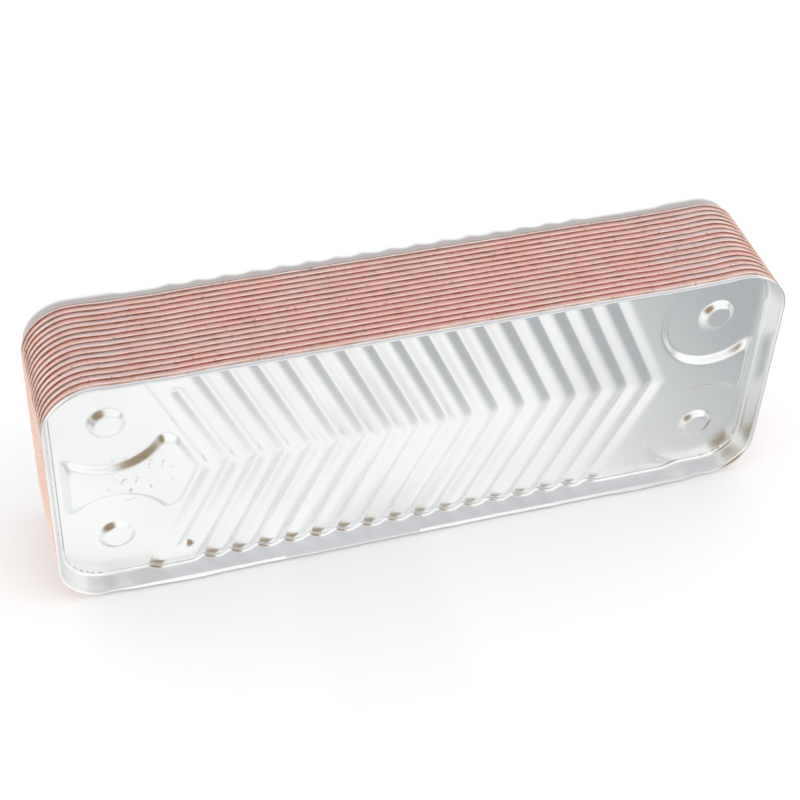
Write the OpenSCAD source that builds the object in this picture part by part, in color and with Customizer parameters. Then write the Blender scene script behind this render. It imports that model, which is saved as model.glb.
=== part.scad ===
// Nested brazed plate heat exchanger, standing on one long narrow side.
// Every plate is a shallow tray whose skirt opens towards -Y. Trays nest into one another,
// every second channel plate is turned half a turn, and copper seams join the skirts.

/* [Plate outline] */
// Outside length of a plate at its free edge, mm
plate_l = 207; // [200:1:220]
// Outside width of a plate at its free edge, mm
plate_w = 77; // [75:1:90]
// Outside corner radius at the free edge, mm
edge_r = 13.5; // [11:0.5:15]
// Height of a skirt above the low web, mm
skirt_h = 6.3; // [5.5:0.1:7]
// Outward lean of a skirt, mm out per mm up
skirt_lean = 0.2; // [0.19:0.01:0.24]
// Inside radius between web and skirt, mm
web_fillet = 1.4; // [1.2:0.1:2.4]

/* [Stack] */
// Number of channel plates between the two covers
channel_plates = 15; // [15:15]
// Distance from one plate to the next, mm
plate_pitch = 2.09; // [2.07:0.01:2.15]
// Sheet thickness of a channel plate, mm
sheet_t = 0.35; // [0.3:0.01:0.36]
// Sheet thickness of a channel plate where the herringbone is drawn, mm
pressed_t = 0.33; // [0.28:0.01:0.34]
// Sheet thickness of the covers, mm
cover_t = 0.5; // [0.4:0.05:0.6]
// Depth of the pressing, low web to high web, mm
press_h = 1.7; // [1.5:0.05:1.7]

/* [Herringbone] */
// Groove to groove distance along the plate, mm
groove_pitch = 7.7; // [7:0.1:8.4]
// Angle of a groove from the short axis of the plate, degrees
groove_angle = 25; // [20:1:30]
// Width of a groove floor, across the groove, mm
groove_floor = 1.2; // [0.8:0.1:1.6]
// Width of a groove wall, across the groove, mm
groove_wall = 1.9; // [1.7:0.1:2.1]
// First groove of the covers, counted from the middle of the plate
first_groove = -8; // [-8:1:-7]
// Last groove of the covers, counted from the middle of the plate
last_groove = 9; // [8:1:9]

/* [Ports] */
// Port spacing along the plate, mm
port_span_x = 172; // [170:1:174]
// Port spacing across the plate, mm
port_span_y = 42; // [40:1:44]
// Radius of the port holes in the front cover, mm
port_r = 8; // [7:0.5:9]
// Radius of the port holes in the channel plates, mm
channel_port_r = 8.5; // [8:0.5:9.5]
// Radius of the flat round each port in a channel plate, mm
channel_flat_r = 12.5; // [12:0.5:13]
// Radius of the flat round each port in a cover, mm
cover_flat_r = 15.5; // [15:0.5:16]
// Outside radius of the seal rings, mm
seal_ring_r = 12; // [11:0.5:12.5]

/* [Back cover] */
// Radius of a dimple at its foot, mm
dimple_foot_r = 5.4; // [5:0.1:6]
// Radius of a dimple at its flat top, mm
dimple_top_r = 3.3; // [3:0.1:3.8]
// Height of a dimple, mm
dimple_h = 1.5; // [1.2:0.1:1.7]

/* [Copper seams] */
// Height of the copper bead above the next plate's free edge, mm
bead_h = 0.45; // [0.3:0.05:0.6]
// Width of the copper bead, mm
bead_w = 0.33; // [0.2:0.01:0.35]

/* [Mounting bosses] */
// Outside diameter of a boss, mm
boss_d = 12; // [10:0.5:12]
// Tapping radius of the M6 thread, mm
boss_thread_r = 2.5; // [2.5:0.1:3]
// How far a boss stands out past the port seats, mm
boss_proud = 3; // [2:0.5:5]

/* [Hidden] */
$fn = 96;

// Lean of the skirt as an angle, and how wide a sheet is when cut level
lean_angle = atan(skirt_lean);
level_factor = 1 / cos(lean_angle);

// Reference surface: the inside face of a channel plate, given at the height of the low web
ref_edge_inset = sheet_t * level_factor + skirt_h * skirt_lean;
ref_half_l = plate_l / 2 - ref_edge_inset;
ref_half_w = plate_w / 2 - ref_edge_inset;
ref_r = edge_r - ref_edge_inset;
corner_x = ref_half_l - ref_r;
corner_y = ref_half_w - ref_r;
port_x = port_span_x / 2;
port_y = port_span_y / 2;

// Herringbone measured across the grooves
cross_pitch = groove_pitch * cos(groove_angle);
far = plate_l;

// The stack runs from the back cover, index 0, to the front cover
front_index = channel_plates + 1;
stack_top = skirt_h;
stack_bottom = -front_index * plate_pitch - cover_t - boss_proud;
stack_middle = (stack_top + stack_bottom) / 2;
half_height = ref_half_w + skirt_h * skirt_lean + cover_t * level_factor;

eps = 0.01;

copper_colour = [0.80, 0.55, 0.46];
steel_colour = [0.80, 0.80, 0.82];
cover_colour = [0.90, 0.91, 0.92];
boss_colour = [0.66, 0.67, 0.69];

function plate_z(index) = -index * plate_pitch;

// Points on an arc, from angle a0 to a1
function arc(cx, cy, r, a0, a1, steps = 3) =
    [for (i = [0:steps]) [cx + r * cos(a0 + (a1 - a0) * i / steps), cy + r * sin(a0 + (a1 - a0) * i / steps)]];

// Distance of a skirt face from the corner centre at height z, out from the reference face by d
function skirt_at(z, d) = ref_r + z * skirt_lean + d * level_factor;

// Where the fillet starts, out from the corner centres
fillet_x = skirt_at(web_fillet, 0) - web_fillet * level_factor;

// Turns plate coordinates (x along, y across, z towards the open side) into the standing frame
module stand(index) {
    translate([0, stack_middle, half_height])
        rotate([90, 0, 0])
            translate([0, 0, plate_z(index)])
                children();
}

// Runs a section, x out from the corner centres and y up, once round the plate
module round_the_rim() {
    for (sx = [-1, 1], sy = [-1, 1])
        translate([sx * corner_x, sy * corner_y, 0])
            rotate([0, 0, sx > 0 ? (sy > 0 ? 0 : 270) : (sy > 0 ? 90 : 180)])
                rotate_extrude(angle = 90)
                    children();
    for (sx = [-1, 1])
        translate([sx * corner_x, 0, 0])
            rotate([90, 0, sx > 0 ? 0 : 180])
                linear_extrude(height = 2 * corner_y, center = true)
                    children();
    for (sy = [-1, 1])
        translate([0, sy * corner_y, 0])
            rotate([90, 0, sy > 0 ? 90 : 270])
                linear_extrude(height = 2 * corner_x, center = true)
                    children();
}

// Skirt and fillet, between a face t_in inside and a face t_out outside the reference face,
// with a strip of low web as wide as lap inside the fillet
module skirt(t_in, t_out, lap) {
    round_the_rim()
        polygon(concat(
            [[fillet_x - lap, t_in]],
            arc(fillet_x, web_fillet, web_fillet - t_in, -90, -lean_angle),
            [[skirt_at(skirt_h, -t_in), skirt_h], [skirt_at(skirt_h, t_out), skirt_h]],
            arc(fillet_x, web_fillet, web_fillet + t_out, -lean_angle, -90),
            [[fillet_x - lap, -t_out]]
        ));
}

// Outline of the web where the fillet starts, grown by d
module web_outline(d) {
    r = fillet_x + d;
    for (sx = [-1, 1], sy = [-1, 1])
        translate([sx * corner_x, sy * corner_y])
            circle(r = r);
    square([2 * (corner_x + r), 2 * corner_y], center = true);
    square([2 * corner_x, 2 * (corner_y + r)], center = true);
}

// Solid block that fills a tray up to half way into its skirt
module tray_filling(t_in, t_out) {
    z0 = -t_out - 1;
    z1 = press_h + 1;
    middle = (t_out - t_in) / 2;
    round_the_rim()
        polygon([[0, z0], [skirt_at(z0, middle), z0], [skirt_at(z1, middle), z1], [0, z1]]);
    translate([-corner_x, -corner_y, z0])
        cube([2 * corner_x, 2 * corner_y, z1 - z0]);
}

// Top line of the herringbone across its grooves, from groove a to groove b
function wave_line(a, b, end_z) = concat(
    [[-far, 0]],
    [for (i = [a:b]) each [
        [i * cross_pitch - (i == a ? 0 : groove_floor / 2), 0],
        [i * cross_pitch + groove_floor / 2, 0],
        [i * cross_pitch + groove_floor / 2 + groove_wall, press_h],
        i < b ? [(i + 1) * cross_pitch - groove_floor / 2 - groove_wall, press_h] : [far, end_z]
    ]]
);

// The folded web: a wave line given thickness and run along the grooves, mirrored at the middle
module herringbone(a, b, t_in, t_out) {
    line = wave_line(a, b, press_h);
    section = concat(
        [for (p = line) p + [0, t_in]],
        [for (i = [len(line) - 1:-1:0]) line[i] - [0, t_out]]
    );
    for (side = [0, 1])
        mirror([0, side, 0])
            intersection() {
                rotate([0, 0, groove_angle])
                    rotate([90, 0, 0])
                        linear_extrude(height = 2 * plate_w, center = true)
                            polygon(section);
                translate([-far, 0, -5])
                    cube([2 * far, plate_w, 10]);
            }
}

module at_ports(sides_x, sides_y) {
    for (sx = sides_x, sy = sides_y)
        translate([sx * port_x, sy * port_y, 0])
            children();
}

// A flat ring round a port at height z, with a wall joining it to the folded web
module port_flat(z) {
    translate([0, 0, z - sheet_t])
        cylinder(r = channel_flat_r, h = sheet_t);
    difference() {
        translate([0, 0, -sheet_t])
            cylinder(r = channel_flat_r, h = press_h + sheet_t);
        translate([0, 0, -sheet_t - 1])
            cylinder(r = channel_flat_r - sheet_t, h = press_h + sheet_t + 2);
    }
}

// Channel plate: herringbone all over, upper port pair low and lower port pair high
module channel_plate(index) {
    stand(index)
        rotate([0, 0, index % 2 == 0 ? 0 : 180])
            difference() {
                union() {
                    skirt(0, sheet_t, 4 * sheet_t);
                    prism(-sheet_t, press_h)
                        difference() {
                            web_outline(-sheet_t);
                            web_outline(-2 * sheet_t);
                        }
                    difference() {
                        intersection() {
                            herringbone(-14, 16, 0, pressed_t);
                            prism(-5, 5)
                                web_outline(-1.5 * sheet_t);
                        }
                        at_ports([-1, 1], [-1, 1])
                            translate([0, 0, -5])
                                cylinder(r = channel_flat_r - sheet_t / 2, h = 10);
                    }
                    at_ports([-1, 1], [1])
                        port_flat(0);
                    at_ports([-1, 1], [-1])
                        port_flat(press_h);
                }
                at_ports([-1, 1], [-1, 1])
                    translate([0, 0, -5])
                        cylinder(r = channel_port_r, h = 10);
            }
}

// Low ground at the right end of a cover, grown by d: two port discs and the strip past the neck
module right_low_shape(d) {
    neck_end = port_x + 12.4 - d;
    neck_half = 8 - d;
    difference() {
        union() {
            for (sy = [-1, 1])
                translate([port_x, sy * port_y])
                    circle(r = cover_flat_r + d);
            translate([port_x - d, -far])
                square([far, 2 * far]);
        }
        difference() {
            translate([port_x - 20, -neck_half])
                square([neck_end - port_x + 20, 2 * neck_half]);
            for (sy = [-1, 1])
                translate([port_x, sy * port_y])
                    circle(r = cover_flat_r + d);
        }
    }
}

// Bow-tie island between the two left ports, shrunk by d
module bow_tie_shape(d) {
    left = -port_x - 12.2 + d;
    left_half = 8 - d;
    tip_half = 13.5 - d;
    apex = first_groove * groove_pitch - (groove_floor / 2 + d) / cos(groove_angle);
    difference() {
        polygon([
            [left, left_half],
            [left, -left_half],
            [-port_x, -tip_half],
            [apex - tip_half * tan(groove_angle), -tip_half],
            [apex, 0],
            [apex - tip_half * tan(groove_angle), tip_half],
            [-port_x, tip_half]
        ]);
        for (sy = [-1, 1])
            translate([-port_x, sy * port_y])
                circle(r = cover_flat_r + d);
    }
}

module prism(z0, z1) {
    translate([0, 0, z0])
        linear_extrude(height = z1 - z0)
            children();
}

// Web of a cover: low ground with a bow-tie at the left, herringbone, high ground with discs at the right
module cover_web(t_in, t_out) {
    wall = t_in + t_out;
    intersection() {
        tray_filling(t_in, t_out);
        union() {
            difference() {
                herringbone(first_groove, last_groove, t_in, t_out);
                prism(-5, 5)
                    right_low_shape(0);
                prism(-5, 5)
                    bow_tie_shape(wall);
            }
            prism(-t_out, t_in)
                right_low_shape(eps);
            prism(-t_out, press_h + t_in)
                difference() {
                    right_low_shape(wall);
                    right_low_shape(0);
                }
            prism(-t_out, press_h + t_in)
                difference() {
                    bow_tie_shape(0);
                    bow_tie_shape(wall);
                }
            prism(press_h - t_out, press_h + t_in)
                bow_tie_shape(0);
        }
    }
}

// Blank cover on the open side of the stack, with a pressed dimple on each port centre
module back_cover_plate() {
    t_in = cover_t - sheet_t;
    color(cover_colour)
        stand(0)
            difference() {
                union() {
                    skirt(t_in, sheet_t, 1);
                    cover_web(t_in, sheet_t);
                    at_ports([-1, 1], [-1, 1])
                        cylinder(r1 = dimple_foot_r, r2 = dimple_top_r, h = dimple_h + t_in);
                }
                at_ports([-1, 1], [-1, 1])
                    translate([0, 0, -sheet_t])
                        cylinder(r1 = dimple_foot_r, r2 = dimple_top_r, h = dimple_h);
            }
}

// Cover on the port side, with four port holes in flat seats
module front_cover_plate() {
    color(cover_colour)
        stand(front_index)
            difference() {
                union() {
                    skirt(0, cover_t, 1);
                    cover_web(0, cover_t);
                }
                at_ports([-1, 1], [-1, 1])
                    translate([0, 0, -5])
                        cylinder(r = port_r, h = 10);
            }
}

// Copper between the skirts of plate index - 1 and plate index, with a bead on the free edge
module braze_seam(index) {
    inner = sheet_t;
    outer = plate_pitch * skirt_lean / level_factor;
    seam_low = web_fillet;
    seam_high = skirt_h - plate_pitch;
    color(copper_colour)
        stand(index - 1)
            round_the_rim()
                polygon([
                    [skirt_at(seam_low, inner), seam_low],
                    [skirt_at(seam_low, outer), seam_low],
                    [skirt_at(seam_high, outer), seam_high],
                    [skirt_at(seam_high, outer) + bead_w, seam_high],
                    [skirt_at(seam_high + bead_h, inner), seam_high + bead_h]
                ]);
}

// Ring that closes the last gap round one lower port
module port_seal_ring(side) {
    color(steel_colour)
        stand(front_index)
            translate([side * port_x, -port_y, 0])
                difference() {
                    cylinder(r = seal_ring_r, h = plate_pitch - sheet_t);
                    translate([0, 0, -1])
                        cylinder(r = channel_port_r, h = plate_pitch + 2);
                }
}

// Threaded boss in the recess between two ports of the front cover
module mounting_boss(side) {
    boss_bottom = -cover_t - boss_proud;
    color(boss_colour)
        stand(front_index)
            translate([side * port_x, 0, 0])
                difference() {
                    translate([0, 0, boss_bottom])
                        intersection() {
                            cylinder(d = boss_d, h = press_h - cover_t - boss_bottom);
                            translate([-boss_d, -boss_d / 2 + 1.3, 0])
                                cube([2 * boss_d, boss_d - 2.6, 20]);
                        }
                    translate([0, 0, boss_bottom - 1])
                        cylinder(r = boss_thread_r, h = boss_proud + press_h + 5);
                }
}

back_cover_plate();
for (i = [1:channel_plates])
    color(steel_colour) channel_plate(i);
front_cover_plate();
for (i = [1:front_index])
    braze_seam(i);
port_seal_ring(-1);  // port_seal_ring_left
port_seal_ring(1);  // port_seal_ring_right
mounting_boss(-1);  // mounting_boss_left
mounting_boss(1);  // mounting_boss_right
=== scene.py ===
"""Looks of a nested, brazed plate heat exchanger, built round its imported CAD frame.

Plate coordinates are millimetres: x along the plate, y across it, z towards the open side of the stack,
with z = 0 on the low web. Each plate stands behind the one before it in the row frame.
"""

import logging
import math
from dataclasses import dataclass, field
from enum import Enum
from typing import Callable

import bpy
import numpy as np
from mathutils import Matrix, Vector, geometry


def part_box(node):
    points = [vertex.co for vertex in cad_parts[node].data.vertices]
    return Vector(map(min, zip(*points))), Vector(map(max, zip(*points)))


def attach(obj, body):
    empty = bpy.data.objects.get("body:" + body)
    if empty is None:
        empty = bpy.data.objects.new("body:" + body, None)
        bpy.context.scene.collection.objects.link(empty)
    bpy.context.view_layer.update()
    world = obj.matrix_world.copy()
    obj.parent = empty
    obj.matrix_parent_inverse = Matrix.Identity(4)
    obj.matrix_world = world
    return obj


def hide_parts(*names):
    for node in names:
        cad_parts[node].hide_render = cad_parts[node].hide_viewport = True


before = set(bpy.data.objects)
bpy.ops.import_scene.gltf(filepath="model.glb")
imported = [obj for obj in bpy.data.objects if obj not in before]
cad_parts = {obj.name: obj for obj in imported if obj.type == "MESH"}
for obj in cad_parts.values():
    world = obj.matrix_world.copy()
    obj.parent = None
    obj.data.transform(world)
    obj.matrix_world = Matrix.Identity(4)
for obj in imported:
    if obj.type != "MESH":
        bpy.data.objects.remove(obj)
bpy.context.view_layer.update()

MM = 0.001
SEED = 7
# How far the waves of a free edge shift from one plate to the next, radians.
PHASE_STEP = 1.7

log = logging.getLogger("plate_heat_exchanger")
logging.basicConfig(level=logging.INFO, format="%(message)s")

Array = np.ndarray
HeightField = Callable[[Array, Array], Array]


class Turn(Enum):
    """Which way round a channel plate lies in the stack."""

    AS_PRESSED = 1.0
    HALF_TURN = -1.0


class Slot(Enum):
    """Material slots of the record."""

    COVER = "cover_steel"
    PLATE = "plate_steel"
    COPPER = "braze_copper"
    BOSS = "boss_steel"


# ---------------------------------------------------------------- shapes shared by every plate


def smooth_step(t: Array) -> Array:
    """Rises smoothly from 0 at t = 0 to 1 at t = 1."""
    c = np.clip(t, 0.0, 1.0)
    return c * c * (3.0 - 2.0 * c)


def soft_min(a: Array, b: Array, blend: float) -> Array:
    """The smaller of a and b, with the corner between them rounded over a width of blend."""
    overlap = np.maximum(blend - np.abs(a - b), 0.0)
    return np.minimum(a, b) - overlap * overlap / (4.0 * blend)


@dataclass(frozen=True)
class Outline:
    """The rounded rectangle that every plate shares, and its leaning skirt.

    Sizes are millimetres and match the CAD plates.
    """

    corner_x: float = 90.0
    corner_y: float = 25.0
    foot_radius: float = 11.883
    skirt_height: float = 6.3
    lean: float = 0.2
    fillet: float = 1.4

    @property
    def level(self) -> float:
        """How much wider a leaning sheet is when it is cut level."""
        return math.hypot(1.0, self.lean)

    @property
    def fillet_start(self) -> float:
        """Distance from the corner centres at which the web ends and the fillet starts."""
        return self.foot_radius + self.fillet * (self.lean - self.level)

    def skirt_radius(self, z: Array | float) -> Array | float:
        """Distance of the inside skirt face from the corner centres at height z."""
        return self.foot_radius + self.lean * z

    def perimeter(self, count: int) -> tuple[Array, Array]:
        """Even samples round the rounded rectangle.

        Args:
            count: number of samples.

        Returns:
            The base points on the rectangle of corner centres, and the outward unit normals.
        """
        quarter = self.fillet_start * math.pi / 2.0
        runs = [2 * self.corner_y, quarter, 2 * self.corner_x, quarter] * 2
        ends = np.cumsum(runs)
        starts = ends - runs
        where = np.arange(count) * ends[-1] / count
        leg = np.searchsorted(ends, where, side="right")
        along = (where - starts[leg]) / np.array(runs)[leg]
        turn = np.array([0.0, 0.0, 0.5, 0.5, 1.0, 1.0, 1.5, 1.5])[leg] * math.pi
        angle = turn + np.where(leg % 2 == 1, along * math.pi / 2.0, 0.0)
        corners = np.array([[1, -1], [1, 1], [1, 1], [-1, 1], [-1, 1], [-1, -1], [-1, -1], [1, -1]], float)
        corners = corners * [self.corner_x, self.corner_y]
        follow = np.roll(corners, -1, axis=0)
        on_side = (leg % 2 == 0)[:, None]
        sliding = corners[leg] + (follow - corners)[leg] * along[:, None]
        base = np.where(on_side, sliding, corners[leg])
        return base, np.stack([np.cos(angle), np.sin(angle)], axis=1)

    def inset(self, x: Array, y: Array) -> Array:
        """Distance of a point inside the line at which the fillet starts."""
        dx = np.maximum(np.abs(x) - self.corner_x, 0.0)
        dy = np.maximum(np.abs(y) - self.corner_y, 0.0)
        outside = np.hypot(dx, dy)
        inside = np.minimum(self.corner_x - np.abs(x), self.corner_y - np.abs(y))
        return self.fillet_start - np.where(outside > 0.0, outside, -np.maximum(inside, 0.0))

    def free_edge(self, x: Array, y: Array, phase: float) -> Array:
        """Height of the slightly wavy free edge of a skirt.

        Args:
            x: place along the plate.
            y: place across the plate.
            phase: shifts the waves, so that no two plates have the same edge.

        Returns:
            The height above the low web.
        """
        dip = 0.65 * np.exp(-(((np.abs(x) - 89.0) / 5.0) ** 2))
        rise = 0.3 * np.exp(-(((np.abs(x) - 67.0) / 6.0) ** 2)) * (np.abs(y) > self.corner_y)
        wave = 0.05 * np.sin(0.19 * x + phase) + 0.035 * np.sin(0.61 * x + 0.5 * y + 2.1 * phase)
        return self.skirt_height - dip + rise + wave


@dataclass(frozen=True)
class Herringbone:
    """The pressed chevrons: narrow low grooves between broad high ridges."""

    pitch: float = 7.7
    angle: float = math.radians(25.0)
    depth: float = 1.7
    apex_round: float = 0.8
    first: int = -8
    last: int = 9

    @property
    def cross_pitch(self) -> float:
        """Groove to groove distance, square to the grooves."""
        return self.pitch * math.cos(self.angle)

    def across(self, x: Array, y: Array) -> Array:
        """Coordinate square to the grooves, with the apexes rounded."""
        bent = np.hypot(y, self.apex_round) - self.apex_round
        return x * math.cos(self.angle) + bent * math.sin(self.angle)

    def plan_x(self, u: Array, y: Array) -> Array:
        """Place along the plate of a given coordinate square to the grooves."""
        bent = np.hypot(y, self.apex_round) - self.apex_round
        return (u - bent * math.sin(self.angle)) / math.cos(self.angle)

    def profile(self, away: Array) -> Array:
        """Height at a distance from the middle of a groove."""
        g = np.clip(np.abs(away) / (self.cross_pitch / 2.0), 0.0, 1.0) ** 0.78
        return self.depth * (1.0 - np.cos(math.pi * g)) / 2.0

    def endless(self, x: Array, y: Array) -> Array:
        """The folded height with grooves all over."""
        steps = self.across(x, y) / self.cross_pitch
        return self.profile((steps - np.round(steps)) * self.cross_pitch)

    def bounded(self, x: Array, y: Array, short_groove: int, short_half: float) -> Array:
        """The folded height of a cover: low before the first groove and high after the last.

        Args:
            x: place along the plate.
            y: place across the plate.
            short_groove: index of the groove that stops before the rim.
            short_half: half length of that groove across the plate.

        Returns:
            The height above the low web.
        """
        u = self.across(x, y)
        steps = u / self.cross_pitch
        nearest = np.round(steps)
        away = (steps - nearest) * self.cross_pitch
        past_end = np.maximum(np.abs(y) - short_half, 0.0) / math.cos(self.angle)
        away = np.where(nearest == short_groove, np.hypot(away, past_end), away)
        height = self.profile(away)
        height = np.where(steps > self.last + 0.5, self.depth, height)
        return np.where(steps < self.first, 0.0, height)


@dataclass(frozen=True)
class Ports:
    """Where the four ports are."""

    x: float = 86.0
    y: float = 21.0

    def nearest(self, x: Array, y: Array) -> Array:
        """Distance to the nearest port centre."""
        return np.hypot(np.abs(x) - self.x, np.abs(y) - self.y)

    def centres(self) -> list[tuple[float, float]]:
        """The four port centres."""
        return [(sx * self.x, sy * self.y) for sx in (-1, 1) for sy in (-1, 1)]


@dataclass(frozen=True)
class CoverRelief:
    """The pressed relief of a cover, read as a height above its low web."""

    outline: Outline = Outline()
    folds: Herringbone = Herringbone()
    ports: Ports = Ports()
    wall: float = 2.4
    seat_radius: float = 16.05
    end_x: float = 98.1
    tip_half: float = 13.0
    corner_blend: float = 3.2
    dimple_height: float = 1.5
    dimple_foot: float = 5.5
    dimple_top: float = 3.1

    def bow_tie(self, x: Array, y: Array) -> Array:
        """How far inside the bow-tie island a point is."""
        inside = soft_min(self.ports.nearest(x, y) - self.seat_radius, x + self.end_x, self.corner_blend)
        right_side = self.folds.first * self.folds.cross_pitch - 1.55 - self.folds.across(x, y)
        point = soft_min(right_side, self.tip_half - np.abs(y), self.corner_blend)
        return soft_min(inside, point, 1.2)

    def high_end(self, x: Array, y: Array) -> Array:
        """How far inside the high ground of the right end a point is."""
        high = soft_min(self.ports.nearest(x, y) - self.seat_radius, self.end_x - x, self.corner_blend)
        open_to_rim = np.maximum(self.ports.x - x, self.ports.y - np.abs(y))
        return np.where(x > 0.0, np.minimum(high, open_to_rim), self.wall)

    def height(self, x: Array, y: Array) -> Array:
        """Height of the web without anything pressed on the port centres."""
        folds = self.folds.bounded(x, y, self.folds.first + 1, 28.5)
        folds = folds * smooth_step(self.high_end(x, y) / self.wall + 0.5)
        left = self.folds.across(x, y) < self.folds.first * self.folds.cross_pitch
        island = self.folds.depth * smooth_step(self.bow_tie(x, y) / self.wall + 0.5)
        nose = 1.0 - 0.3 * np.exp(-((np.maximum(self.outline.inset(x, y), 0.0) / 1.1) ** 2))
        return np.where(left, island, folds) * nose

    def dimpled(self, x: Array, y: Array) -> Array:
        """Height of the web with a round dimple on each port centre."""
        reach = (self.dimple_foot - self.ports.nearest(x, y)) / (self.dimple_foot - self.dimple_top)
        return self.height(x, y) + self.dimple_height * smooth_step(reach)


@dataclass(frozen=True)
class ChannelRelief:
    """The relief of a channel plate: folds all over, one port pair low and the other high."""

    outline: Outline = Outline()
    folds: Herringbone = Herringbone()
    ports: Ports = Ports()
    flat_radius: float = 12.5
    wall: float = 1.2

    def height(self, x: Array, y: Array) -> Array:
        """Height of the web above its low side."""
        rim = smooth_step((self.outline.inset(x, y) - 0.4) / 1.6)
        folded = self.folds.endless(x, y) * rim
        flat = np.where(y > 0.0, 0.0, self.folds.depth)
        share = smooth_step((self.ports.nearest(x, y) - self.flat_radius) / self.wall + 0.5)
        return folded * share + flat * (1.0 - share)


# ---------------------------------------------------------------- sheet metal


@dataclass
class SheetPlan:
    """How finely a pressed plate is meshed.

    The web's vertices lie in rows along the folds, so that each fold stays straight.
    """

    steps_per_fold: int
    row_gap: float
    rim_count: int
    fine_ends: bool = False
    hole_radius: float = 0.0
    port_rings: tuple[float, ...] = ()
    ring_count: int = 56
    crease_gap: float = 0.42


@dataclass
class Sheet:
    """A pressed plate of real thickness, with its skirt. Its face stands inside the reference surface."""

    relief: HeightField
    plan: SheetPlan
    thickness: float
    inside: float = 0.0
    outline: Outline = field(default_factory=Outline)
    folds: Herringbone = field(default_factory=Herringbone)
    ports: Ports = field(default_factory=Ports)

    def web_points(self) -> Array:
        """Plan positions of the vertices inside the web."""
        du = self.folds.cross_pitch / self.plan.steps_per_fold
        count_u = int(125.0 / du)
        half_rows = int(self.outline.corner_y + self.outline.fillet_start) / self.plan.row_gap
        rows = np.arange(-int(half_rows), int(half_rows) + 1) * self.plan.row_gap
        steps = np.arange(-count_u, count_u + 1) * du
        grids = [np.meshgrid(steps, rows)]
        if self.plan.fine_ends:
            grids.append(np.meshgrid(steps + du / 2.0, rows + self.plan.row_gap / 2.0))
        points = []
        for number, (u, y) in enumerate(grids):
            x = self.folds.plan_x(u, y)
            keep = self.outline.inset(x, y) > 2.0 * self.plan.crease_gap
            if number:
                keep &= (x < -62.0) | (x > 66.0)
            points.append(np.stack([x[keep], y[keep]], axis=1))
        found = np.concatenate(points)
        if self.plan.port_rings:
            clear = self.ports.nearest(found[:, 0], found[:, 1]) > self.plan.port_rings[-1] + 0.25
            found = np.concatenate([found[clear], self.port_ring_points()])
        return found

    def port_ring_points(self) -> Array:
        """Plan positions of the round vertex rings about each port centre."""
        angle = np.arange(self.plan.ring_count) * 2.0 * math.pi / self.plan.ring_count
        circle = np.stack([np.cos(angle), np.sin(angle)], axis=1)
        rings = [np.array(c) + r * circle for c in self.ports.centres() for r in self.plan.port_rings]
        if not self.plan.hole_radius:
            rings.append(np.array(self.ports.centres()))
        return np.concatenate(rings)

    def face_up(self, phase: float) -> tuple[Array, Array, Array, Array]:
        """The inside face of the plate.

        Args:
            phase: shifts the waves of the free edge.

        Returns:
            Vertices, triangles, a 0 to 1 reach up the skirt for each vertex, and the free edge's vertex
            indices in order.
        """
        base, normal = self.outline.perimeter(self.plan.rim_count)
        start = base + self.outline.fillet_start * normal
        web = np.concatenate([start - self.plan.crease_gap * normal, self.web_points()])
        plan = np.concatenate([start, web])
        loop = [list(range(len(start)))]
        made = geometry.delaunay_2d_cdt([Vector(p) for p in plan.tolist()], [], loop, 1, 1e-7, False)
        if len(made[0]) != len(plan):
            raise ValueError("two web vertices lie on one another")
        tris = np.array([f for f in made[2] if len(f) == 3], dtype=int)
        flat = plan.copy()
        tris = self.without_holes(flat, tris)
        height = self.relief(flat[:, 0], flat[:, 1])
        rim = len(start)
        lift = height[:rim]
        flat[:rim] += normal * (self.outline.lean * lift)[:, None]
        verts = [np.column_stack([flat, height])]
        reach = [np.zeros(len(flat))]
        edge = self.outline.free_edge(start[:, 0], start[:, 1], phase)
        for ring_z, ring_r, share in self.skirt_rings(lift, edge):
            verts.append(np.column_stack([base + normal * ring_r[:, None], ring_z]))
            reach.append(np.full(rim, share))
        faces = [tris]
        lower = np.arange(rim)
        for ring in range(1, len(verts)):
            upper = len(flat) + (ring - 1) * rim + np.arange(rim)
            faces.append(strip(lower, upper))
            lower = upper
        return np.concatenate(verts), np.concatenate(faces), np.concatenate(reach), lower

    def without_holes(self, flat: Array, tris: Array) -> Array:
        """Drops the triangles over the port holes, and turns the rest to face up."""
        a, b, c = (flat[tris[:, i]] for i in range(3))
        ab, ac = b - a, c - a
        area = ab[:, 0] * ac[:, 1] - ab[:, 1] * ac[:, 0]
        tris = np.where((area < 0)[:, None], tris[:, ::-1], tris)
        keep = np.ones(len(tris), dtype=bool)
        if self.plan.hole_radius:
            middle = (a + b + c) / 3.0
            keep &= self.ports.nearest(middle[:, 0], middle[:, 1]) > self.plan.hole_radius * 0.996
        return tris[keep]

    def skirt_rings(self, lift: Array, edge: Array) -> list[tuple[Array, Array, float]]:
        """Height, radius and reach of each vertex ring from the fillet to the free edge."""
        out = self.outline
        lean = math.atan(out.lean)
        centre_r = out.fillet_start + out.lean * lift
        centre_z = lift + out.fillet
        rings = []
        for step in range(1, 6):
            angle = -math.pi / 2.0 + (math.pi / 2.0 - lean) * step / 5.0
            radius = centre_r + out.fillet * math.cos(angle)
            rings.append((centre_z + out.fillet * math.sin(angle), radius, 0.12 * step / 5.0))
        foot = rings[-1][0]
        for step in range(1, 5):
            z = foot + (edge - foot) * step / 4.0
            rings.append((z, out.skirt_radius(z), 0.12 + 0.88 * step / 4.0))
        return rings

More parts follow.
